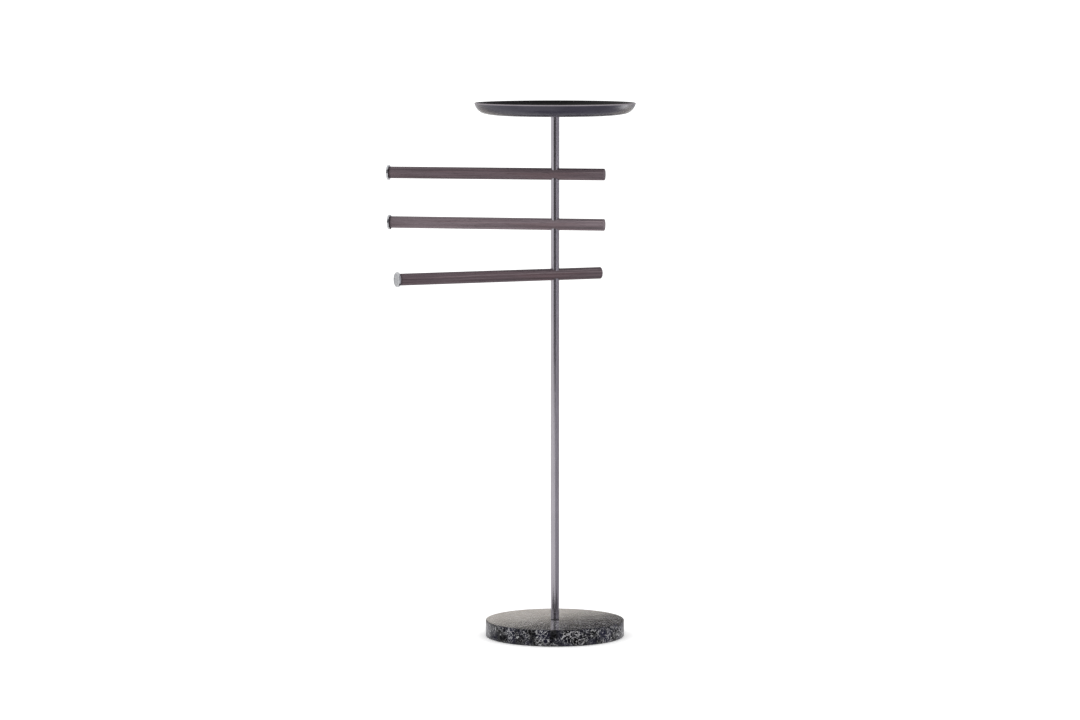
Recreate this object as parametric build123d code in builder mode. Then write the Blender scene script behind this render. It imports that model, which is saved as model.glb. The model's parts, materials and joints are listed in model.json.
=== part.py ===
from build123d import *

import os
from math import cos, radians, sin

# Valet stand: a stone disc carries a slim steel post with a round tray on top. Three round wooden
# bars are threaded on the post near one of their ends and swivel about it, and the other end of
# each bar wears a metal disc. The post is four tubes, stacked through the bars: at every bar the
# two tube ends are drawn together on a steel sleeve by a threaded stud, and the bar turns on that
# sleeve on two flanged bushes, held at the angle it is given by a dished spring washer.
#
# Millimetres. +Z is up, the floor is Z = 0 and the post stands on the Z axis.

# ---- driving dimensions -----------------------------------------------------------------------
overall_height = 1000.0  # floor to the top of the tray's rim

base_diameter = 260.0
base_thickness = 30.0
base_arris = 1.0  # bevel on the stone's edges
pad_thickness = 1.0
pad_inset = 6.0  # the pad's edge stands this far inside the stone's edge

base_plate_diameter = 88.0
base_plate_thickness = 5.0
base_bolt_diameter = 8.0
base_bolt_engagement = 20.0
base_bolt_head_flats = 13.0
base_bolt_head_height = 5.3
base_bolt_washer_diameter = 16.0
base_bolt_washer_thickness = 1.6
stone_hole_diameter = 10.0
foot_washer_thickness = 0.8
foot_insert_length = 26.0

post_diameter = 16.0
post_wall = 1.5
insert_length = 14.0
tube_edge_break = 0.3

bar_diameter = 22.0
bar_reach = 321.0  # post axis to the outer face of the end disc
bar_tail = 94.0  # post axis to the plain end
bar_edge_break = 0.6
end_disc_diameter = 28.0
end_disc_thickness = 4.0
end_disc_edge = 0.5
end_disc_spigot_diameter = 10.0
end_disc_spigot_length = 18.0

lower_bar_height = 680.5
bar_pitch = 93.5
# Each bar's swivel at rest, in degrees: its disc end points to -X, and a positive angle brings
# that end towards -Y.
swivel = {"lower": 25.0, "middle": -13.0, "upper": -12.0}

pivot_web = 10.0  # wood left between the two pockets that take the tube ends
pivot_stud_diameter = 6.0
pivot_stud_engagement = 11.0
pivot_sleeve_diameter = 9.0
bush_wall = 1.5
bush_flange_thickness = 1.0
spring_washer_thickness = 0.3
spring_washer_height = 0.6

tray_diameter = 300.0
tray_depth = 23.5  # outside, floor to rim
tray_wall = 3.0
tray_shallow_radius = 150.0  # outer radius of the gentle rise around the flat floor
tray_shallow_angle = 12.0
tray_corner_radius = 24.0  # outer radius of the turn into the wall
tray_wall_angle = 68.0  # slope of the wall at the rim, from level
tray_least_wall = 1.0  # straight wall that the corner leaves under the rim
tray_flange_diameter = 60.0
tray_flange_thickness = 2.5
tray_screw_head_diameter = 12.0
tray_screw_socket_flats = 4.0
tray_screw_socket_depth = 1.8

# ---- clearances, on the radius unless said ------------------------------------------------------
running_clearance = 0.05  # bush on sleeve
seat_clearance = 0.02  # bush in the wood, disc spigot in the wood
insert_clearance = 0.05  # insert brazed in its tube
thread_clearance = 0.05  # plain shank in a plain hole that stands for a thread
passing_clearance = 0.25  # a screw through a hole that it doesn't bite in
pocket_clearance = 0.3  # tube end in a bar's pocket
flange_clearance = 0.5  # bush flange in a bar's pocket
spring_washer_margin = 0.3  # the washer's edge stands this far inside the flange's edge
recess_clearance = 1.0  # plate in the stone's recess
bolt_head_gap = 0.6  # height between the bolt's head and the pad
bush_gap = 0.4  # height between the two bushes of a bar
spigot_gap = 1.0  # depth left behind the disc's spigot

# ---- worked out -----------------------------------------------------------------------------------
post_radius = post_diameter / 2
tube_bore_radius = post_radius - post_wall
insert_radius = tube_bore_radius - insert_clearance
bar_radius = bar_diameter / 2
sleeve_radius = pivot_sleeve_diameter / 2
stud_radius = pivot_stud_diameter / 2
bush_outer_radius = sleeve_radius + running_clearance + bush_wall
pocket_radius = post_radius + pocket_clearance
flange_radius = pocket_radius - flange_clearance
spring_washer_radius = flange_radius - spring_washer_margin
disc_seat = bar_reach - end_disc_thickness  # where the wood ends and the disc begins

stone_bottom = pad_thickness
stone_top = stone_bottom + base_thickness
head_bottom = stone_bottom + bolt_head_gap
washer_bottom = head_bottom + base_bolt_head_height
plate_bottom = washer_bottom + base_bolt_washer_thickness
recess_top = plate_bottom + base_plate_thickness
foot_top = stone_top + foot_washer_thickness

tray_bottom = overall_height - tray_depth
tray_floor = tray_bottom + tray_wall
flange_bottom = tray_bottom - tray_flange_thickness

bar_heights = {
    "lower": lower_bar_height,
    "middle": lower_bar_height + bar_pitch,
    "upper": lower_bar_height + 2 * bar_pitch,
}

# Heights about a bar's own axis: the tube below stops under the bottom bush, and the tube above
# starts on the spring washer over the top bush.
below_bar = -pivot_web / 2 - bush_flange_thickness
above_bar = pivot_web / 2 + bush_flange_thickness + spring_washer_height
sleeve_length = above_bar - below_bar

# The four tubes of the post, each from its lower end to its upper end.
tubes = {
    "lower_post": (foot_top, bar_heights["lower"] + below_bar),
    "lower_spacer_tube": (bar_heights["lower"] + above_bar, bar_heights["middle"] + below_bar),
    "upper_spacer_tube": (bar_heights["middle"] + above_bar, bar_heights["upper"] + below_bar),
    "top_post": (bar_heights["upper"] + above_bar, flange_bottom),
}


def level(height):
    """A level plane at a height above the floor."""
    return Plane.XY.offset(height)


def upright(height):
    """An upright plane for profiles that are turned about the post, with its origin at a height."""
    return Plane(origin=(0, 0, height), x_dir=(1, 0, 0), z_dir=(0, -1, 0))


def across_bar(side, distance):
    """A plane square to a bar, at a distance from the post axis towards its disc end."""
    angle = radians(swivel[side])
    along = Vector(-cos(angle), -sin(angle), 0)
    centre = Plane(origin=(0, 0, bar_heights[side]), x_dir=(0, 0, 1), z_dir=along)
    return centre.offset(distance)


def save(piece, name):
    """Label a finished piece and write it to its own file."""
    piece.part.label = name
    export_step(piece.part, f"parts/{name}.step")


def ring(name, bottom, height, outer_radius, hole_radius):
    """A round piece with a straight hole: washers, sleeves, inserts and plates."""
    with BuildPart() as piece:
        with BuildSketch(level(bottom)):
            Circle(outer_radius)
            Circle(hole_radius, mode=Mode.SUBTRACT)
        extrude(amount=height)
    save(piece, name)


# ---- base -----------------------------------------------------------------------------------------
def make_base_disc():
    with BuildPart() as base_disc:
        with BuildSketch(level(stone_bottom)):
            Circle(base_diameter / 2)
        extrude(amount=base_thickness)
        rims = base_disc.edges().filter_by(GeomType.CIRCLE)
        chamfer(rims, length=base_arris)
        with BuildSketch(level(stone_bottom)):
            Circle(base_plate_diameter / 2 + recess_clearance)
        extrude(amount=recess_top - stone_bottom, mode=Mode.SUBTRACT)
        with BuildSketch(level(recess_top)):
            Circle(stone_hole_diameter / 2)
        extrude(amount=stone_top - recess_top, mode=Mode.SUBTRACT)
    save(base_disc, "base_disc")


def make_base_pad():
    with BuildPart() as base_pad:
        with BuildSketch(level(0)):
            Circle(base_diameter / 2 - pad_inset)
        extrude(amount=pad_thickness)
    save(base_pad, "base_pad")


def make_base_bolt():
    with BuildPart() as base_bolt:
        with BuildSketch(level(head_bottom)):
            RegularPolygon(base_bolt_head_flats / 2, 6, major_radius=False)
        extrude(amount=base_bolt_head_height)
        with BuildSketch(level(washer_bottom)):
            Circle(base_bolt_diameter / 2)
        extrude(amount=foot_top + base_bolt_engagement - washer_bottom)
    save(base_bolt, "base_bolt")


def make_base():
    bolt_radius = base_bolt_diameter / 2
    bolt_hole = bolt_radius + passing_clearance
    make_base_disc()
    make_base_pad()
    ring("base_plate", plate_bottom, base_plate_thickness, base_plate_diameter / 2, bolt_hole)
    ring("base_bolt_washer", washer_bottom, base_bolt_washer_thickness,
         base_bolt_washer_diameter / 2, bolt_hole)
    make_base_bolt()
    ring("foot_washer", stone_top, foot_washer_thickness, post_radius, bolt_hole)


# ---- post -----------------------------------------------------------------------------------------
def make_tube(name, bottom, top):
    with BuildPart() as tube:
        with BuildSketch(level(bottom)):
            Circle(post_radius)
            Circle(tube_bore_radius, mode=Mode.SUBTRACT)
        extrude(amount=top - bottom)
        outer_rims = tube.edges().filter_by(GeomType.CIRCLE).sort_by(SortBy.RADIUS)[-2:]
        chamfer(outer_rims, length=tube_edge_break)
    save(tube, name)


def make_post():
    threaded_hole = stud_radius + thread_clearance
    for name, (bottom, top) in tubes.items():
        make_tube(name, bottom, top)
        if name == "lower_post":
            foot_hole = base_bolt_diameter / 2 + thread_clearance
            ring(f"{name}_foot_insert", bottom, foot_insert_length, insert_radius, foot_hole)
        else:
            ring(f"{name}_bottom_insert", bottom, insert_length, insert_radius, threaded_hole)
        ring(f"{name}_top_insert", top - insert_length, insert_length, insert_radius, threaded_hole)


# ---- pivots ---------------------------------------------------------------------------------------
def make_pivot_stud(side):
    low = bar_heights[side] + below_bar - pivot_stud_engagement
    length = sleeve_length + 2 * pivot_stud_engagement
    with BuildPart() as stud:
        with BuildSketch(level(low)):
            Circle(stud_radius)
        extrude(amount=length)
        chamfer(stud.edges().filter_by(GeomType.CIRCLE), length=tube_edge_break)
    save(stud, f"{side}_pivot_stud")


def make_spring_washer(side):
    """A dished ring: its outer edge stands on the top bush and its inner edge carries the tube."""
    inner = sleeve_radius + passing_clearance
    outer = spring_washer_radius
    lift = spring_washer_height - spring_washer_thickness
    with BuildPart() as washer:
        with BuildSketch(upright(bar_heights[side] + pivot_web / 2 + bush_flange_thickness)):
            with BuildLine():
                Polyline(
                    (inner, lift),
                    (outer, 0),
                    (outer, spring_washer_thickness),
                    (inner, spring_washer_height),
                    close=True,
                )
            make_face()
        revolve(axis=Axis.Z)
    save(washer, f"{side}_spring_washer")


def make_bush(side, name, flange_height, flange_step, barrel_step):
    """A flanged bush: its flange starts at a height, and its barrel goes on into the wood."""
    with BuildPart() as bush:
        with BuildSketch(level(flange_height)):
            Circle(flange_radius)
        extrude(amount=flange_step)
        with BuildSketch(level(flange_height)):
            Circle(bush_outer_radius)
        extrude(amount=barrel_step)
        with BuildSketch(level(flange_height + flange_step)):
            Circle(sleeve_radius + running_clearance)
        extrude(amount=barrel_step - flange_step, mode=Mode.SUBTRACT)
    save(bush, f"{side}_bar_{name}_bush")


def make_pivot(side):
    barrel = (pivot_web - bush_gap) / 2
    web_top = bar_heights[side] + pivot_web / 2
    web_bottom = bar_heights[side] - pivot_web / 2
    make_pivot_stud(side)
    ring(f"{side}_pivot_sleeve", bar_heights[side] + below_bar, sleeve_length, sleeve_radius,
         stud_radius + passing_clearance)
    make_spring_washer(side)
    make_bush(side, "top", web_top, bush_flange_thickness, -barrel)
    make_bush(side, "bottom", web_bottom, -bush_flange_thickness, barrel)


# ---- bars -----------------------------------------------------------------------------------------
def make_bar(side):
    height = bar_heights[side]
    with BuildPart() as bar:
        with BuildSketch(across_bar(side, -bar_tail)):
            Circle(bar_radius)
        extrude(amount=bar_tail + disc_seat)
        chamfer(bar.edges().filter_by(GeomType.CIRCLE), length=bar_edge_break)
        with BuildSketch(level(height + pivot_web / 2), level(height - pivot_web / 2 - bar_radius)):
            Circle(pocket_radius)
        extrude(amount=bar_radius, mode=Mode.SUBTRACT)
        with BuildSketch(level(height - pivot_web / 2)):
            Circle(bush_outer_radius + seat_clearance)
        extrude(amount=pivot_web, mode=Mode.SUBTRACT)
        with BuildSketch(across_bar(side, disc_seat)):
            Circle(end_disc_spigot_diameter / 2 + seat_clearance)
        extrude(amount=-end_disc_spigot_length - spigot_gap, mode=Mode.SUBTRACT)
    save(bar, f"{side}_bar")


def make_end_disc(side):
    with BuildPart() as disc:
        with BuildSketch(across_bar(side, disc_seat)):
            Circle(end_disc_diameter / 2)
        extrude(amount=end_disc_thickness)
        chamfer(disc.edges().filter_by(GeomType.CIRCLE), length=end_disc_edge)
        with BuildSketch(across_bar(side, disc_seat)):
            Circle(end_disc_spigot_diameter / 2)
        extrude(amount=-end_disc_spigot_length)
    save(disc, f"{side}_bar_end_disc")


# ---- tray -----------------------------------------------------------------------------------------
def make_tray():
    """A shallow dish of even thickness with a full-round rim, turned about the post."""
    shallow, wall_slope = radians(tray_shallow_angle), radians(tray_wall_angle)
    rim_radius = tray_wall / 2
    # The rim's round end rises above the outer wall's end, and stops short of it sideways.
    wall_end_height = tray_depth - rim_radius * (1 + cos(wall_slope))
    wall_end_radius = tray_diameter / 2 - rim_radius * (1 - sin(wall_slope))
    shallow_rise = tray_shallow_radius * (1 - cos(shallow))
    # The corner is as large as asked, or as the wall's height has room for.
    room = wall_end_height - shallow_rise - tray_least_wall * sin(wall_slope)
    corner_radius = min(tray_corner_radius, room / (cos(shallow) - cos(wall_slope)))
    corner_rise = corner_radius * (cos(shallow) - cos(wall_slope))
    wall_length = (wall_end_height - shallow_rise - corner_rise) / sin(wall_slope)
    shallow_run = tray_shallow_radius * sin(shallow)
    corner_run = corner_radius * (sin(wall_slope) - sin(shallow))
    floor_radius = wall_end_radius - shallow_run - corner_run - wall_length * cos(wall_slope)
    corner_angle = tray_wall_angle - tray_shallow_angle
    with BuildPart() as tray:
        with BuildSketch(upright(tray_bottom)):
            with BuildLine():
                floor = Line((0, 0), (floor_radius, 0))
                rise = JernArc(floor @ 1, floor % 1, tray_shallow_radius, tray_shallow_angle)
                corner = JernArc(rise @ 1, rise % 1, corner_radius, corner_angle)
                wall = Line(corner @ 1, corner @ 1 + wall_length * (corner % 1))
                rim = JernArc(wall @ 1, wall % 1, rim_radius, 180)
                inner_wall = Line(rim @ 1, rim @ 1 + wall_length * (rim % 1))
                inner_corner = JernArc(
                    inner_wall @ 1, inner_wall % 1, corner_radius - tray_wall, -corner_angle
                )
                inner_rise = JernArc(
                    inner_corner @ 1,
                    inner_corner % 1,
                    tray_shallow_radius - tray_wall,
                    -tray_shallow_angle,
                )
                Line(inner_rise @ 1, (0, tray_wall))
                Line((0, tray_wall), (0, 0))
            make_face()
        revolve(axis=Axis.Z)
        with Locations((0, 0, tray_floor)):
            CounterSinkHole(
                radius=stud_radius + passing_clearance,
                counter_sink_radius=tray_screw_head_diameter / 2 + seat_clearance,
                counter_sink_angle=90,
            )
    save(tray, "tray")


def make_tray_flange():
    with BuildPart() as flange:
        with BuildSketch(level(flange_bottom)):
            Circle(tray_flange_diameter / 2)
        extrude(amount=tray_flange_thickness)
        chamfer(flange.edges().filter_by(GeomType.CIRCLE).group_by(Axis.Z)[0], length=0.8)
        with BuildSketch(level(flange_bottom)):
            Circle(stud_radius + passing_clearance)
        extrude(amount=tray_flange_thickness, mode=Mode.SUBTRACT)
    save(flange, "tray_flange")


def make_tray_screw():
    """A countersunk socket screw, its head flush with the tray's floor."""
    head_radius = tray_screw_head_diameter / 2
    length = tray_wall + tray_flange_thickness + pivot_stud_engagement
    with BuildPart() as screw:
        with BuildSketch(upright(tray_floor)):
            with BuildLine():
                Polyline(
                    (0, 0),
                    (head_radius, 0),
                    (stud_radius, stud_radius - head_radius),
                    (stud_radius, -length),
                    (0, -length),
                    close=True,
                )
            make_face()
        revolve(axis=Axis.Z)
        with BuildSketch(level(tray_floor)):
            RegularPolygon(tray_screw_socket_flats / 2, 6, major_radius=False)
        extrude(amount=-tray_screw_socket_depth, mode=Mode.SUBTRACT)
    save(screw, "tray_screw")


os.makedirs("parts", exist_ok=True)
make_base()
make_post()
for side in bar_heights:
    make_pivot(side)
    make_bar(side)
    make_end_disc(side)
make_tray()
make_tray_flange()
make_tray_screw()
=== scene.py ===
import json
from math import atan2, cos, pi, radians, sin

import bpy
from mathutils import Matrix, Vector, noise


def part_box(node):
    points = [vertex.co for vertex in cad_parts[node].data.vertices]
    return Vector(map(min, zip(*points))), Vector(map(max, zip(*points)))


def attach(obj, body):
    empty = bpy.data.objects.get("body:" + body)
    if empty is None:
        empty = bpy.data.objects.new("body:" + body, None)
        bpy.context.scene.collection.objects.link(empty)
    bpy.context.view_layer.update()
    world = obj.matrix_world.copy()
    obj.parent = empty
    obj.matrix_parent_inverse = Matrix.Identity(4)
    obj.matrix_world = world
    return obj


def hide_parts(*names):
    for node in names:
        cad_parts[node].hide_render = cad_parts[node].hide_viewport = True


# Valet stand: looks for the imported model. Metres, +Z up, the floor at Z = 0 and the post on the
# Z axis. Every turned piece is rebuilt here from its CAD node's own box, with a finer outline and
# a procedural material, and the small inner fittings are the CAD nodes with better materials.

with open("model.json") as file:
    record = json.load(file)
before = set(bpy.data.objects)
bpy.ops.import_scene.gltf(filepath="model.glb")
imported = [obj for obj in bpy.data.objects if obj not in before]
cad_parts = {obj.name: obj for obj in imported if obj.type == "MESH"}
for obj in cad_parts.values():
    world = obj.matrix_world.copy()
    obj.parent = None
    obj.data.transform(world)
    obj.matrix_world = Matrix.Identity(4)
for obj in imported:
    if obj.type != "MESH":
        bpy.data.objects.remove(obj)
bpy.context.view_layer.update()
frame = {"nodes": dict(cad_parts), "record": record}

MM = 0.001
SIDES = ("lower", "middle", "upper")
TUBES = ("lower_post", "lower_spacer_tube", "upper_spacer_tube", "top_post")
# How much lighter each bar is than the plain stain, in screen values: the middle one is paler wood.
WOOD_TONES = {"lower": 2, "middle": 27, "upper": 8}

# Shapes that a node's box doesn't give. They repeat the CAD source's sizes.
STONE_ARRIS = 1.0 * MM
STONE_RECESS_GAP = 1.0 * MM
STONE_HOLE_RADIUS = 5.0 * MM
TUBE_WALL = 1.5 * MM
TUBE_EDGE = 0.3 * MM
WASHER_HOLE_RADIUS = 4.25 * MM
BAR_EDGE = 0.6 * MM
POCKET_RADIUS = 8.3 * MM
POCKET_FLOOR = 5.0 * MM
BUSH_BORE_RADIUS = 6.07 * MM
SPIGOT_RADIUS = 5.0 * MM
SPIGOT_LENGTH = 18.0 * MM
SPIGOT_BORE_RADIUS = 5.02 * MM
SPIGOT_BORE_DEPTH = 19.0 * MM
DISC_THICKNESS = 4.0 * MM
DISC_EDGE = 0.5 * MM
TRAY_WALL = 3.0 * MM
TRAY_SHALLOW_RADIUS = 150.0 * MM
TRAY_SHALLOW_ANGLE = 12.0
TRAY_CORNER_RADIUS = 24.0 * MM
TRAY_WALL_ANGLE = 68.0
SCREW_HOLE_RADIUS = 3.25 * MM
SCREW_HEAD_RADIUS = 6.0 * MM
SCREW_SINK_RADIUS = 6.02 * MM
SCREW_SHANK_RADIUS = 3.0 * MM
SCREW_SOCKET_FLATS = 4.0 * MM
SCREW_SOCKET_DEPTH = 1.8 * MM
FLANGE_EDGE = 0.8 * MM

# Finer detail that only the looks have.
SHARP_ANGLE = 32
STONE_SIDES, STONE_SIDE_ROWS = 720, 22
CHIP_REACH = 2.4 * MM
CHIP_DEPTH = 1.6 * MM
NIBBLE_DEPTH = 0.14 * MM
RIPPLE_DEPTH = 0.03 * MM
TUBE_SIDES, BAR_SIDES, DISC_SIDES, TRAY_SIDES, FLANGE_SIDES = 96, 192, 128, 256, 160
WASHER_EDGE = 0.1 * MM
JOINT_ZONE = 14.0 * MM
DISC_RING = 1.5 * MM
DISC_SUNK = 0.3 * MM
DISC_FIELD_ROWS = 30
DENT_MARGIN = 0.2 * MM
DENT_DEPTH = 0.3 * MM
DENT_GRAIN_DEPTH = 0.06 * MM


# ---- meshes ---------------------------------------------------------------------------------------
def turned(name, stretches, segments):
    """A solid turned about Z from a closed profile, counter-clockwise with the radius to the right.

    The profile is a list of stretches of (radius, height) points, each following on from the one
    before, and the faces that start in a stretch take the material slot of its number.
    """
    points = [point for stretch in stretches for point in stretch]
    slots = [number for number, stretch in enumerate(stretches) for _ in stretch]
    vertices, rings = [], []
    for radius, height in points:
        count = segments if radius > 0 else 1
        rings.append(range(len(vertices), len(vertices) + count))
        for k in range(count):
            angle = 2 * pi * k / segments
            vertices.append((radius * cos(angle), radius * sin(angle), height))
    faces, face_slots = [], []
    for number, ring in enumerate(rings):
        following = rings[(number + 1) % len(rings)]
        for k in range(segments):
            here, there = k % len(ring), (k + 1) % len(ring)
            over, back = (k + 1) % len(following), k % len(following)
            corners = list(dict.fromkeys((ring[here], ring[there], following[over], following[back])))
            if len(corners) > 2:
                faces.append(corners)
                face_slots.append(slots[number])
    mesh = bpy.data.meshes.new(name)
    mesh.from_pydata(vertices, [], faces)
    mesh.polygons.foreach_set("material_index", face_slots)
    return mesh


def arc(centre, radius, start, end, steps=6):
    """Points on an arc about a (radius, height) centre, from one angle to another in degrees."""
    turn = (end - start) / steps
    angles = [radians(start + turn * k) for k in range(steps + 1)]
    return [(centre[0] + radius * cos(a), centre[1] + radius * sin(a)) for a in angles]


def rounding(chamfer):
    """The radius of a round edge that only just stays inside a chamfer."""
    return chamfer / (2 - 2 ** 0.5)


def bend(start, heading, radius, turn, steps):
    """Points of an arc that leaves a point in a heading, in degrees, and turns by an angle."""
    side = 1 if turn > 0 else -1
    normal = radians(heading + 90 * side)
    centre = (start[0] + radius * cos(normal), start[1] + radius * sin(normal))
    first = heading - 90 * side
    return arc(centre, radius, first, first + turn, steps)


def run(start, heading, length, steps=1):
    """Points of a straight run that leaves a point in a heading, in degrees."""
    dx, dz = length * cos(radians(heading)), length * sin(radians(heading))
    return [(start[0] + dx * k / steps, start[1] + dz * k / steps) for k in range(steps + 1)]


def piece(name, mesh, looks, body, node):
    """A finished mesh as an object that rides on a body and stands for a CAD node."""
    for look in looks:
        mesh.materials.append(look)
    mesh.shade_smooth()
    mesh.set_sharp_from_angle(angle=radians(SHARP_ANGLE))
    obj = bpy.data.objects.new(name, mesh)
    bpy.context.scene.collection.objects.link(obj)
    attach(obj, body)
    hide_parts(node)


def cut(mesh, tool):
    """The mesh with another mesh taken away from it."""
    obj = bpy.data.objects.new("being_cut", mesh)
    cutter = bpy.data.objects.new("cutter", tool)
    for made in (obj, cutter):
        bpy.context.scene.collection.objects.link(made)
    modifier = obj.modifiers.new("cut", "BOOLEAN")
    modifier.operation, modifier.solver, modifier.object = "DIFFERENCE", "EXACT", cutter
    bpy.context.view_layer.update()
    depsgraph = bpy.context.evaluated_depsgraph_get()
    result = bpy.data.meshes.new_from_object(obj.evaluated_get(depsgraph))
    for made in (obj, cutter):
        bpy.data.objects.remove(made)
    return result


# ---- materials ------------------------------------------------------------------------------------
def shade(red, green, blue):
    """A colour from its 0 to 255 screen values."""
    def linear(value):
        value /= 255
        return value / 12.92 if value < 0.04045 else ((value + 0.055) / 1.055) ** 2.4
    return (linear(red), linear(green), linear(blue), 1.0)


class Look:
    """One procedural material: a Principled shader and short names for the nodes that feed it."""

    def __init__(self, name, **settings):
        self.material = bpy.data.materials.new(name)
        self.material.use_nodes = True
        self.tree = self.material.node_tree
        self.shader = self.tree.nodes["Principled BSDF"]
        for socket, value in settings.items():
            self.shader.inputs[socket.replace("_", " ")].default_value = value
        self.place = self.add("ShaderNodeTexCoord").outputs["Object"]

    def add(self, kind, inputs=None, **properties):
        node = self.tree.nodes.new(kind)
        for key, value in properties.items():
            setattr(node, key, value)
        for socket, value in (inputs or {}).items():
            if isinstance(value, bpy.types.NodeSocket):
                self.tree.links.new(value, node.inputs[socket])
            else:
                node.inputs[socket].default_value = value
        return node

    def set(self, socket, value):
        self.tree.links.new(value, self.shader.inputs[socket])

    def scaled(self, scale, shift=(0, 0, 0)):
        """The object's coordinates, shifted and stretched."""
        inputs = {"Vector": self.place, "Location": shift, "Scale": scale}
        return self.add("ShaderNodeMapping", inputs).outputs["Vector"]

    def noise(self, place, scale=1.0, detail=3.0, roughness=0.5, output="Fac"):
        inputs = {"Vector": place, "Scale": scale, "Detail": detail, "Roughness": roughness,
                  "Distortion": 0.0}
        return self.add("ShaderNodeTexNoise", inputs).outputs[output]

    def math(self, operation, first, second=0.0, third=0.0, clamp=False):
        inputs = {0: first, 1: second, 2: third}
        return self.add("ShaderNodeMath", inputs, operation=operation, use_clamp=clamp).outputs[0]

    def between(self, value, low, high, to_low=0.0, to_high=1.0):
        """A value from one range carried to another, held at both ends."""
        inputs = {"Value": value, "From Min": low, "From Max": high, "To Min": to_low,
                  "To Max": to_high}
        return self.add("ShaderNodeMapRange", inputs).outputs["Result"]

    def ramp(self, value, *stops):
        """A colour picked from (position, colour) stops."""
        node = self.add("ShaderNodeValToRGB", {"Fac": value})
        marks = node.color_ramp.elements
        while len(marks) < len(stops):
            marks.new(1.0)
        for mark, (position, colour) in zip(marks, stops):
            mark.position, mark.color = position, colour
        return node.outputs["Color"]

    def blend(self, amount, first, second):
        """One colour carried towards another."""
        inputs = {0: amount, 6: first, 7: second}
        return self.add("ShaderNodeMix", inputs, data_type="RGBA", blend_type="MIX").outputs[2]

    def warped(self, place, amount, scale):
        """Coordinates pushed about by noise, by up to about half the amount."""
        push = self.noise(place, scale, 2.0, output="Color")
        middle = self.add("ShaderNodeVectorMath", {0: push, 1: (0.5, 0.5, 0.5)}, operation="SUBTRACT")
        inputs = {0: middle.outputs[0], 1: (amount, amount, amount), 2: place}
        return self.add("ShaderNodeVectorMath", inputs, operation="MULTIPLY_ADD").outputs[0]

    def reach_and_height(self):
        """The distance from the post's axis, and the height above the floor."""
        split = self.add("ShaderNodeSeparateXYZ", {"Vector": self.place})
        level = self.add("ShaderNodeCombineXYZ", {"X": split.outputs["X"], "Y": split.outputs["Y"]})
        reach = self.add("ShaderNodeVectorMath", {0: level.outputs[0]}, operation="LENGTH")
        return reach.outputs["Value"], split.outputs["Z"]

    def bump(self, height, distance):
        """Raises the surface by distance, in metres, where height is 1."""
        inputs = {"Height": height, "Distance": distance, "Strength": 1.0}
        self.set("Normal", self.add("ShaderNodeBump", inputs).outputs["Normal"])


def stone_look(name, gloss, rough, relief, painted_sheen):
    """Black granite with pale worm-shaped crystals and blue-violet clouds. A dark line of painted shade
    runs along both arrises, and painted sheen greys the ground between the crystals."""
    look = Look(name, IOR=1.55, Specular_IOR_Level=gloss)
    warped = look.warped(look.place, 0.008, 110)
    folds = look.math("ABSOLUTE", look.math("SUBTRACT", look.noise(warped, 175, 2.0, 0.5), 0.5))
    worms = look.between(folds, 0.01, 0.038, 1.0, 0.0)
    patches = look.between(look.noise(look.place, 42, 2), 0.38, 0.56, 0.1, 1.0)
    blotches = look.between(look.noise(warped, 150, 3, 0.6), 0.62, 0.7)
    pale = look.math("MAXIMUM", look.math("MULTIPLY", worms, patches), blotches)
    grain = look.noise(look.place, 1100, 2, 0.6)
    pale = look.math("MULTIPLY", pale, look.between(grain, 0.36, 0.56, 0.35, 1.0))

    # Painted shade: within a few millimetres of either arris the pale crystals fade to an eighth, which
    # paints a dark line of shade along both edges.
    low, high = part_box("base_disc")
    reach, height = look.reach_and_height()
    drop = look.math("ABSOLUTE", look.math("SUBTRACT", height, (low.z + high.z) / 2))
    from_arris = look.math("SUBTRACT", high.x + (high.z - low.z) / 2, look.math("ADD", reach, drop))
    ragged = look.math("MULTIPLY_ADD", look.noise(look.place, 260, 3), 5 * MM, from_arris)
    inner = look.between(ragged, 3.4 * MM, 4.6 * MM)
    pale = look.math("MULTIPLY", pale, look.between(inner, 0.0, 1.0, 0.12, 1.0))

    violet = look.between(look.noise(look.place, 34, 2), 0.44, 0.62)
    ground = look.ramp(look.noise(warped, 300, 3, 0.6),
                       (0.44, shade(4, 4, 5)), (0.58, shade(15, 15, 18)), (0.74, shade(46, 46, 54)))
    ground = look.blend(look.math("MULTIPLY", violet, 0.45), ground, shade(42, 42, 64))
    # Painted sheen: the ground is carried towards a lighter grey by this amount.
    ground = look.blend(painted_sheen, ground, shade(84, 82, 85))
    crystals = look.ramp(grain, (0.35, shade(112, 112, 118)), (0.58, shade(200, 199, 200)))
    look.set("Base Color", look.blend(pale, ground, crystals))
    look.set("Roughness", look.between(look.noise(warped, 160, 3, 0.6), 0.35, 0.65, rough, rough * 1.6))
    look.bump(look.noise(look.place, 420, 4, 0.6), relief)
    return look.material


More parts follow.
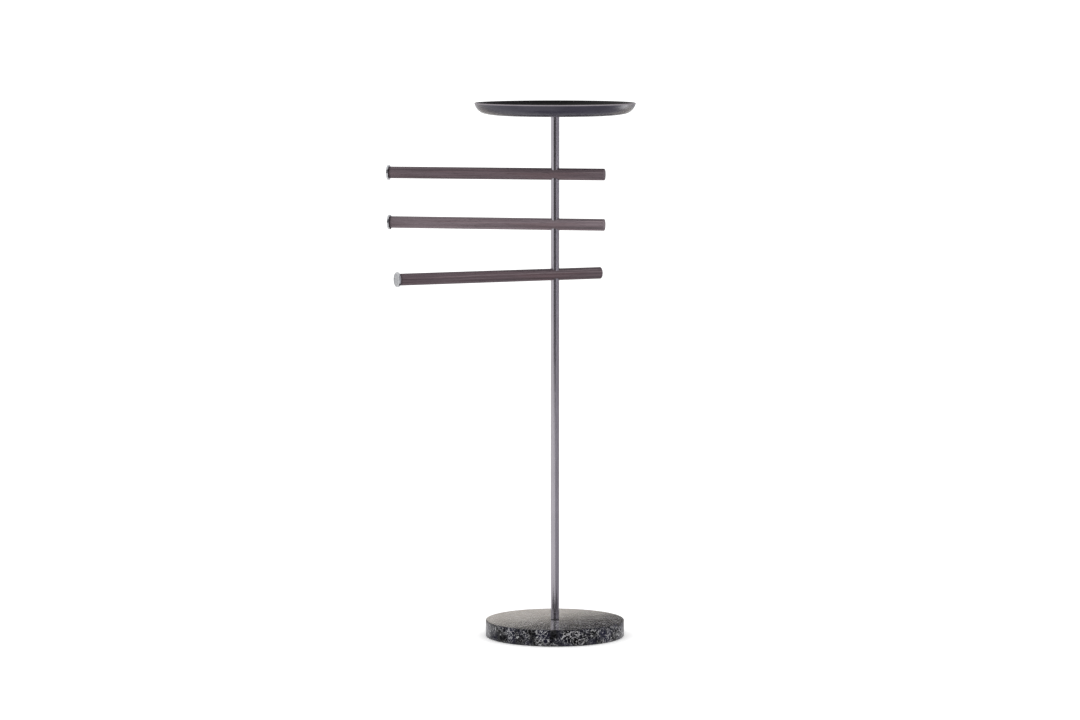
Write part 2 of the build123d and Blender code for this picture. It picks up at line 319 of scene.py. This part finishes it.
def wood_look(number, tone_shift, height, heading, seat):
    """Dark brown open-grained wood: the grain runs along the bar, about a pith beside it, and painted
    shade darkens the wood where it meets the end disc."""
    look = Look(f"dark_wood_{number}", IOR=1.4, Specular_IOR_Level=0.25)
    turned_back = {"Vector": look.place, "Location": (0, 0, -height), "Rotation": (0, 0, -heading)}
    look.place = look.add("ShaderNodeMapping", turned_back).outputs["Vector"]
    shift = (0.37 * number, 0.009 + 0.004 * number, -0.013 + 0.005 * number)
    streaks = look.noise(look.scaled((7, 380, 380), shift), 1.0, 4, 0.55)
    bands = look.noise(look.scaled((3.0, 130, 130), shift), 1.0, 3, 0.5)
    around = look.warped(look.scaled((0.12, 1, 1), shift), 0.004, 45)
    rings = look.add("ShaderNodeTexWave", {"Vector": around, "Scale": 95.0}, wave_type="RINGS",
                     rings_direction="X").outputs["Fac"]
    tone = look.math("MULTIPLY_ADD", streaks, 0.7, -0.42)
    tone = look.math("ADD", tone, look.math("MULTIPLY", rings, 0.2))
    tone = look.math("ADD", tone, look.math("MULTIPLY", bands, 0.9), clamp=True)
    stains = ((0.12, (54, 45, 49)), (0.38, (75, 64, 69)), (0.62, (91, 79, 84)), (0.88, (122, 109, 112)))
    colour = look.ramp(tone, *((stop, shade(*(value + tone_shift for value in stain)))
                               for stop, stain in stains))
    red = look.between(look.noise(look.scaled((5, 260, 260), (1.3, 0.2, 0.1)), 1.0, 3), 0.5, 0.72)
    colour = look.blend(look.math("MULTIPLY", red, 0.35), colour, shade(100, 73, 74))
    pores = look.between(look.noise(look.scaled((55, 2600, 2600), shift), 1.0, 2, 0.5), 0.6, 0.72)
    colour = look.blend(look.math("MULTIPLY", pores, 0.55), colour, shade(34, 28, 31))
    along = look.add("ShaderNodeSeparateXYZ", {"Vector": look.place}).outputs["X"]
    # Painted shade: the wood darkens over the last few millimetres before the end disc.
    painted_disc_shade = look.between(along, seat - 5 * MM, seat - 1 * MM, 0.0, 0.6)
    colour = look.blend(painted_disc_shade, colour, shade(40, 33, 36))
    look.set("Base Color", colour)
    look.set("Roughness", look.between(streaks, 0.3, 0.7, 0.5, 0.66))
    look.bump(look.math("SUBTRACT", look.math("MULTIPLY", streaks, 0.4), pores), 0.00012)
    return look.material


def steel_look():
    """Burnished dark steel with fine drawing lines along Z."""
    look = Look("burnished_steel", Metallic=1.0)
    lines = look.noise(look.scaled((900, 900, 5)), 1.0, 3, 0.6)
    clouds = look.noise(look.scaled((60, 60, 14)), 1.0, 3, 0.55)
    tone = look.math("ADD", look.math("MULTIPLY", lines, 0.5), look.math("MULTIPLY", clouds, 0.5))
    look.set("Base Color", look.ramp(tone, (0.3, shade(144, 140, 146)), (0.7, shade(164, 160, 167))))
    look.set("Roughness", look.between(tone, 0.3, 0.7, 0.1, 0.18))
    look.bump(lines, 0.00001)
    return look.material


def bright_metal_look(name, dull):
    """Pale metal: polished when dull is 0, and mottled and frosted when it is 1."""
    look = Look(name, Metallic=1.0)
    mottle = look.noise(look.place, 420, 4, 0.6)
    scratches = look.noise(look.scaled((300, 2600, 300)), 1.0, 3, 0.6)
    tone = look.math("ADD", look.math("MULTIPLY", mottle, 0.75), look.math("MULTIPLY", scratches, 0.25))
    dark = 156 - 20 * dull
    look.set("Base Color", look.ramp(tone, (0.35, shade(dark, dark + 1, dark + 3)),
                                     (0.65, shade(190, 191, 194))))
    look.set("Roughness", look.between(tone, 0.35, 0.65, 0.1 + 0.3 * dull, 0.18 + 0.38 * dull))
    look.bump(tone, 0.00001 + 0.00006 * dull)
    return look.material


def lacquer_look(name, colour, worn, low, high, gloss, ior=1.5):
    """Satin lacquer on spun metal: a fine orange-peel skin over faint rings, clouded by wear."""
    look = Look(name, IOR=ior, Specular_IOR_Level=gloss)
    peel = look.noise(look.place, 700, 3, 0.55)
    clouds = look.noise(look.place, 24, 4, 0.6)
    reach, _ = look.reach_and_height()
    rings = look.noise(look.add("ShaderNodeCombineXYZ", {"X": reach}).outputs[0], 700, 4, 0.7)
    tone = look.math("ADD", look.math("MULTIPLY", peel, 0.3), look.math("MULTIPLY", clouds, 0.7))
    look.set("Base Color", look.ramp(tone, (0.35, colour), (0.65, worn)))
    skin = look.math("ADD", look.math("MULTIPLY", tone, 0.5), look.math("MULTIPLY", rings, 0.5))
    look.set("Roughness", look.between(skin, 0.35, 0.65, low, high))
    look.bump(look.math("ADD", peel, rings), 0.00003)
    return look.material


def plain_look(name, dark, light, roughness, grain, metallic=0.0):
    """A plain material for the fittings and the studio: two near tones and a fine grain."""
    look = Look(name, Metallic=metallic)
    speck = look.noise(look.place, grain, 4, 0.6)
    look.set("Base Color", look.ramp(speck, (0.35, dark), (0.65, light)))
    look.set("Roughness", look.between(speck, 0.3, 0.7, roughness, roughness + 0.15))
    look.bump(speck, 0.00003)
    return look.material


# The top's copy has painted sheen: its ground is lifted towards grey, and the side's is not.
stone_top = stone_look("polished_granite", 0.44, 0.06, 0.00003, 0.55)
stone_side = stone_look("honed_granite", 0.12, 0.22, 0.00005, 0.0)
steel = steel_look()
disc_face = bright_metal_look("hammered_disc_face", 1.0)
disc_rim = bright_metal_look("polished_disc_rim", 0.0)
tray_outside = lacquer_look("tray_outside", shade(38, 35, 48), shade(48, 45, 58), 0.26, 0.34, 0.4)
tray_inside = lacquer_look("tray_inside", shade(14, 12, 13), shade(21, 19, 20), 0.38, 0.5, 0.2)
# Painted highlight: the lip is a pale grey with a low IOR, so its bright line is painted into the
# colour.
tray_lip_painted_highlight = lacquer_look("tray_lip_painted_highlight", shade(122, 116, 121), shade(142, 136, 141), 0.3, 0.4, 0.3, 1.15)
rubber = plain_look("pad_rubber", shade(18, 18, 18), shade(32, 32, 32), 0.8, 900)
nylon = plain_look("black_nylon", shade(20, 20, 21), shade(34, 34, 35), 0.5, 1200)
zinc = plain_look("zinc_steel", shade(178, 178, 172), shade(206, 206, 200), 0.3, 600, metallic=1.0)
black_screw = plain_look("blackened_screw", shade(48, 47, 48), shade(70, 69, 70), 0.35, 900,
                         metallic=1.0)


# ---- base -----------------------------------------------------------------------------------------
def chip(point, angle, radius, top, bottom):
    """How far the stone's skin lies inside its true outline there: chips along the arrises, and a
    light unevenness on the side."""
    along = Vector((radius * cos(angle), radius * sin(angle), point.z))
    edge = min(abs(top - point.z), abs(point.z - bottom))
    near_edge = max(0.0, 1 - edge / CHIP_REACH)
    chips = max(0.0, noise.noise(along * 260) - 0.12) * CHIP_DEPTH
    nibbles = (noise.noise(along * 900) + 1) * NIBBLE_DEPTH
    ripple = (noise.noise(along * 120) + 1) * RIPPLE_DEPTH
    return near_edge * (chips + nibbles) + ripple


low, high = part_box("base_disc")
plate_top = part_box("base_plate")[1]
stone_radius, bevel = high.x, STONE_ARRIS
recess_radius = plate_top.x + STONE_RECESS_GAP
profile = [
    run((recess_radius, low.z), 0, stone_radius - bevel - recess_radius, 2)
    + run((stone_radius - bevel, low.z), 45, bevel * 2 ** 0.5, 3)[1:]
    + run((stone_radius, low.z + bevel), 90, high.z - low.z - 2 * bevel, STONE_SIDE_ROWS)[1:]
    + run((stone_radius, high.z - bevel), 135, bevel * 2 ** 0.5, 3)[1:-1],
    run((stone_radius - bevel, high.z), 180, 3 * bevel, 4)
    + run((stone_radius - 4 * bevel, high.z), 180, stone_radius - 4 * bevel - STONE_HOLE_RADIUS, 12)[1:]
    + [(STONE_HOLE_RADIUS, plate_top.z), (recess_radius, plate_top.z)]
]
mesh = turned("stone_base", profile, STONE_SIDES)
for vertex in mesh.vertices:
    if Vector((vertex.co.x, vertex.co.y)).length > stone_radius - 1.2 * bevel:
        angle = atan2(vertex.co.y, vertex.co.x)
        depth = chip(vertex.co, angle, stone_radius, high.z, low.z)
        vertex.co -= Vector((cos(angle), sin(angle), 0)) * depth
piece("stone_base", mesh, [stone_side, stone_top], "stand", "base_disc")


# ---- post -----------------------------------------------------------------------------------------
def tube_profile(low, high, outer, inner, edge):
    """A tube's wall with its outer edges broken."""
    return [[(inner, low), (outer - edge, low), (outer, low + edge), (outer, high - edge),
             (outer - edge, high), (inner, high)]]


for name in TUBES:
    low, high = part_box(name)
    profile = tube_profile(low.z, high.z, high.x, high.x - TUBE_WALL, TUBE_EDGE)
    mesh = turned(name + "_tube", profile, TUBE_SIDES)
    piece(name + "_tube", mesh, [steel], "stand", name)

low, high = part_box("foot_washer")
profile = tube_profile(low.z, high.z, high.x, WASHER_HOLE_RADIUS, WASHER_EDGE)
mesh = turned("foot_gasket", profile, TUBE_SIDES)
piece("foot_gasket", mesh, [nylon], "stand", "foot_washer")


# ---- bars -----------------------------------------------------------------------------------------
def disc_face_points(face, radius):
    """The end disc's face, from its edge to its middle: a flat polished ring and a hammered field
    that lies a little lower."""
    field = radius - rounding(DISC_EDGE) - DISC_RING
    rows = DISC_FIELD_ROWS
    inner = [(field * (1 - k / rows), face - DISC_SUNK) for k in range(rows + 1)]
    return [(field, face)], inner


def hammer(mesh, face, radius, seed):
    """Small dents over the disc's sunken face, always towards the bar."""
    limit = radius - rounding(DISC_EDGE) - DISC_RING - DENT_MARGIN
    for vertex in mesh.vertices:
        reach = Vector((vertex.co.x, vertex.co.y)).length
        if vertex.co.z > face - DISC_SUNK - DENT_MARGIN and reach < limit:
            at = Vector((vertex.co.x, vertex.co.y, seed)) * 420
            grain = (noise.noise(at * 2.7) + 1) * DENT_GRAIN_DEPTH
            vertex.co.z -= abs(noise.noise(at)) * DENT_DEPTH + grain


def build_bar(number, side):
    bar, disc = f"{side}_bar", f"{side}_bar_end_disc"
    height = (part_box(bar)[0].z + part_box(bar)[1].z) / 2
    radius = (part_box(bar)[1].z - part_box(bar)[0].z) / 2
    disc_radius = (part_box(disc)[1].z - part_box(disc)[0].z) / 2
    bar_points = [vertex.co.copy() for vertex in frame["nodes"][bar].data.vertices]
    disc_points = [vertex.co.copy() for vertex in frame["nodes"][disc].data.vertices]
    middle = sum(disc_points, Vector()) / len(disc_points)
    heading = atan2(middle.y, middle.x)
    along = Vector((cos(heading), sin(heading), 0))
    reach = max(point.dot(along) for point in disc_points)
    tail = min(point.dot(along) for point in bar_points)
    seat = reach - DISC_THICKNESS
    bar_round, disc_round = rounding(BAR_EDGE), rounding(DISC_EDGE)
    place = Matrix.Translation((0, 0, height)) @ Matrix.Rotation(heading, 4, "Z")
    lay = Matrix.Rotation(radians(90), 4, "Y")

    wood = [
        [(0, tail)]
        + arc((radius - bar_round, tail + bar_round), bar_round, -90, 0, 5)
        + [(radius, -JOINT_ZONE), (radius, JOINT_ZONE)]
        + arc((radius - bar_round, seat - bar_round), bar_round, 0, 90, 5)
        + [(SPIGOT_BORE_RADIUS, seat), (SPIGOT_BORE_RADIUS, seat - SPIGOT_BORE_DEPTH),
           (0, seat - SPIGOT_BORE_DEPTH)]
    ]
    mesh = turned(bar + "_wood", wood, BAR_SIDES)
    mesh.transform(lay)
    over = radius + 2 * MM
    tool = turned("pocket", [[(0, -over), (POCKET_RADIUS, -over), (POCKET_RADIUS, -POCKET_FLOOR),
                              (BUSH_BORE_RADIUS, -POCKET_FLOOR), (BUSH_BORE_RADIUS, POCKET_FLOOR),
                              (POCKET_RADIUS, POCKET_FLOOR), (POCKET_RADIUS, over), (0, over)]],
                  TUBE_SIDES)
    mesh = cut(mesh, tool)
    mesh.name = bar + "_wood"
    mesh.transform(place)
    wood_material = wood_look(number, WOOD_TONES[side], height, heading, seat)
    piece(bar + "_wood", mesh, [wood_material], bar, bar)

    ring, field = disc_face_points(reach, disc_radius)
    rim = (
        [(0, seat - SPIGOT_LENGTH), (SPIGOT_RADIUS, seat - SPIGOT_LENGTH), (SPIGOT_RADIUS, seat)]
        + arc((disc_radius - disc_round, seat + disc_round), disc_round, -90, 0, 5)
        + arc((disc_radius - disc_round, reach - disc_round), disc_round, 0, 90, 5)
        + ring
    )
    mesh = turned(disc + "_metal", [rim, field], DISC_SIDES)
    hammer(mesh, reach, disc_radius, number)
    mesh.transform(place @ lay)
    piece(disc + "_metal", mesh, [disc_rim, disc_face], bar, disc)


for number, side in enumerate(SIDES):
    build_bar(number, side)


# ---- tray -----------------------------------------------------------------------------------------
def build_tray():
    low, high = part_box("tray")
    radius, depth, rim = high.x, high.z - low.z, TRAY_WALL / 2
    shallow, slope = radians(TRAY_SHALLOW_ANGLE), radians(TRAY_WALL_ANGLE)
    corner = TRAY_WALL_ANGLE - TRAY_SHALLOW_ANGLE
    wall_end = (radius - rim * (1 - sin(slope)), depth - rim * (1 + cos(slope)))
    rise = TRAY_SHALLOW_RADIUS * (1 - cos(shallow)) + TRAY_CORNER_RADIUS * (cos(shallow) - cos(slope))
    wall = (wall_end[1] - rise) / sin(slope)
    sweep = TRAY_SHALLOW_RADIUS * sin(shallow) + TRAY_CORNER_RADIUS * (sin(slope) - sin(shallow))
    floor_radius = wall_end[0] - sweep - wall * cos(slope)
    sink = SCREW_SINK_RADIUS - SCREW_HOLE_RADIUS

    outside = run((SCREW_HOLE_RADIUS, low.z), 0, floor_radius - SCREW_HOLE_RADIUS, 6)
    outside += bend(outside[-1], 0, TRAY_SHALLOW_RADIUS, TRAY_SHALLOW_ANGLE, 8)[1:]
    outside += bend(outside[-1], TRAY_SHALLOW_ANGLE, TRAY_CORNER_RADIUS, corner, 20)[1:]
    outside += run(outside[-1], TRAY_WALL_ANGLE, wall, 3)[1:]
    crest = 180 - TRAY_WALL_ANGLE
    lip = bend(outside[-1], TRAY_WALL_ANGLE, rim, crest, 10)
    inside = bend(lip[-1], TRAY_WALL_ANGLE + crest, rim, 180 - crest, 10)
    inside += run(inside[-1], TRAY_WALL_ANGLE + 180, wall, 3)[1:]
    inside += bend(inside[-1], TRAY_WALL_ANGLE + 180, TRAY_CORNER_RADIUS - TRAY_WALL, -corner, 20)[1:]
    inside += bend(inside[-1], TRAY_SHALLOW_ANGLE + 180, TRAY_SHALLOW_RADIUS - TRAY_WALL,
                   -TRAY_SHALLOW_ANGLE, 8)[1:]
    floor = inside[-1]
    inside += run(floor, 180, floor[0] - SCREW_SINK_RADIUS, 8)[1:]
    inside += [(SCREW_HOLE_RADIUS, floor[1] - sink)]
    mesh = turned("tray_dish", [outside[:-1], lip[:-1], inside], TRAY_SIDES)
    piece("tray_dish", mesh, [tray_outside, tray_lip_painted_highlight, tray_inside], "stand", "tray")


build_tray()

low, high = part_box("tray_flange")
mesh = turned("tray_flange_plate", [[
    (SCREW_HOLE_RADIUS, low.z), (high.x - FLANGE_EDGE, low.z), (high.x, low.z + FLANGE_EDGE),
    (high.x, high.z), (SCREW_HOLE_RADIUS, high.z)]], FLANGE_SIDES)
piece("tray_flange_plate", mesh, [steel], "stand", "tray_flange")

low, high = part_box("tray_screw")
neck = high.z - SCREW_HEAD_RADIUS + SCREW_SHANK_RADIUS
mesh = turned("tray_screw_head", [[
    (0, low.z), (SCREW_SHANK_RADIUS, low.z), (SCREW_SHANK_RADIUS, neck),
    (SCREW_HEAD_RADIUS, high.z), (0, high.z)]], TUBE_SIDES)
hexagon = SCREW_SOCKET_FLATS / 2 / cos(radians(30))
tool = turned("socket", [[(0, high.z - SCREW_SOCKET_DEPTH), (hexagon, high.z - SCREW_SOCKET_DEPTH),
                          (hexagon, high.z + MM), (0, high.z + MM)]], 6)
piece("tray_screw_head", cut(mesh, tool), [black_screw], "stand", "tray_screw")


# ---- fittings that stay CAD nodes -----------------------------------------------------------------
fitting_looks = {"pad_rubber": rubber, "black_nylon": nylon, "zinc_steel": zinc}
for part in frame["record"]["subparts"]:
    node = frame["nodes"][part["node"]]
    if not node.hide_render:
        node.data.materials.clear()
        node.data.materials.append(fitting_looks[part["material_slot"]])


# ---- studio ---------------------------------------------------------------------------------------
def board(name, corners, look, **visible):
    """A flat four-cornered sheet that isn't part of the object."""
    mesh = bpy.data.meshes.new(name)
    mesh.from_pydata(corners, [], [(0, 1, 2, 3)])
    mesh.materials.append(look)
    obj = bpy.data.objects.new(name, mesh)
    bpy.context.scene.collection.objects.link(obj)
    for kind, shown in visible.items():
        setattr(obj, f"visible_{kind}", shown)


pale_floor = plain_look("pale_floor", shade(248, 248, 248), shade(252, 252, 252), 0.8, 2)
floor_shader = pale_floor.node_tree.nodes["Principled BSDF"]
floor_shader.inputs["Specular IOR Level"].default_value = 0.0
floor_shader.inputs["Emission Color"].default_value = (1, 1, 1, 1)
floor_shader.inputs["Emission Strength"].default_value = 0.12
cloth = plain_look("dark_cloth", shade(92, 90, 92), shade(98, 96, 98), 0.9, 30)
black_cloth = plain_look("black_cloth", shade(10, 10, 10), shade(14, 14, 14), 0.9, 30)
grey_cloth = plain_look("grey_cloth", shade(186, 184, 190), shade(192, 190, 196), 0.9, 30)
warm_paper = plain_look("warm_paper", shade(224, 217, 208), shade(230, 224, 216), 0.9, 30)
board("floor", [(-12, -4.2, 0), (12, -4.2, 0), (12, 40, 0), (-12, 40, 0)], pale_floor)
# Only the polished surfaces see these: a dark cloth on the camera's side, a grey one along the
# right, and a warm sheet behind the stand with a small black flag hung before it.
hidden = {"camera": False, "diffuse": False, "shadow": False, "transmission": False}
board("front_flag", [(-3.4, -4.3, -0.4), (3.4, -4.3, -0.4), (3.4, -4.3, 6.0), (-3.4, -4.3, 6.0)],
      cloth, **hidden)
board("side_flag", [(1.8, -4.2, 0.01), (1.8, 8.0, 0.01), (1.8, 8.0, 5.0), (1.8, -4.2, 5.0)],
      grey_cloth, **hidden)
board("back_sheet", [(-1.2, 1.0, 0.02), (1.2, 1.0, 0.02), (1.2, 1.0, 0.7), (-1.2, 1.0, 0.7)],
      warm_paper, **hidden)
board("back_flag", [(-0.2, 0.9, 0.2), (0.3, 0.9, 0.14), (0.3, 0.9, 0.7), (-0.2, 0.9, 0.7)],
      black_cloth, **hidden)
board("floor_sheet", [(0.06, -0.35, 0.004), (0.6, -4.2, 0.004), (1.8, -4.2, 0.004), (1.8, 6, 0.004)],
      grey_cloth, **hidden)
# Painted shadow: a dark sheet on the floor just before the base, seen only in reflections, stands in for
# the shade there.
board("near_painted_shadow_sheet", [(-0.4, -0.4, 0.006), (0.4, -0.4, 0.006), (0.4, -0.05, 0.006), (-0.4, -0.05, 0.006)],
      cloth, **hidden)

world = bpy.data.worlds.new("studio")
world.use_nodes = True
backdrop = world.node_tree.nodes["Background"]
backdrop.inputs["Color"].default_value = (1, 1, 1, 1)
backdrop.inputs["Strength"].default_value = 1.2
bpy.context.scene.world = world


# The small lamp that the tray's right side mirrors, on the tray alone.
lamp_place, lamp_aim = Vector((1.6, 1.1, 0.25)), Vector((0.13, -0.07, 0.98))
lamp_data = bpy.data.lights.new("tray_lamp", "AREA")
lamp_data.shape, lamp_data.size, lamp_data.energy = "DISK", 1.1, 11
tray_lamp = bpy.data.objects.new("tray_lamp", lamp_data)
bpy.context.scene.collection.objects.link(tray_lamp)
tray_lamp.location = lamp_place
tray_lamp.rotation_euler = (lamp_aim - lamp_place).to_track_quat("-Z", "Y").to_euler()
tray_lamp.visible_camera = False
tray_lamp.visible_diffuse = False
lit = bpy.data.collections.new("lit_by_tray_lamp")
lit.objects.link(bpy.data.objects["tray_dish"])
tray_lamp.light_linking.receiver_collection = lit

camera_data = bpy.data.cameras.new("camera")
camera_data.lens, camera_data.sensor_width = 132.3, 36
camera = bpy.data.objects.new("camera", camera_data)
bpy.context.scene.collection.objects.link(camera)
camera.location = (-0.028, -7.379, 1.219)
camera.rotation_euler = (radians(84.59), 0, 0)
bpy.context.scene.camera = camera
bpy.context.scene.view_settings.view_transform = "Standard"
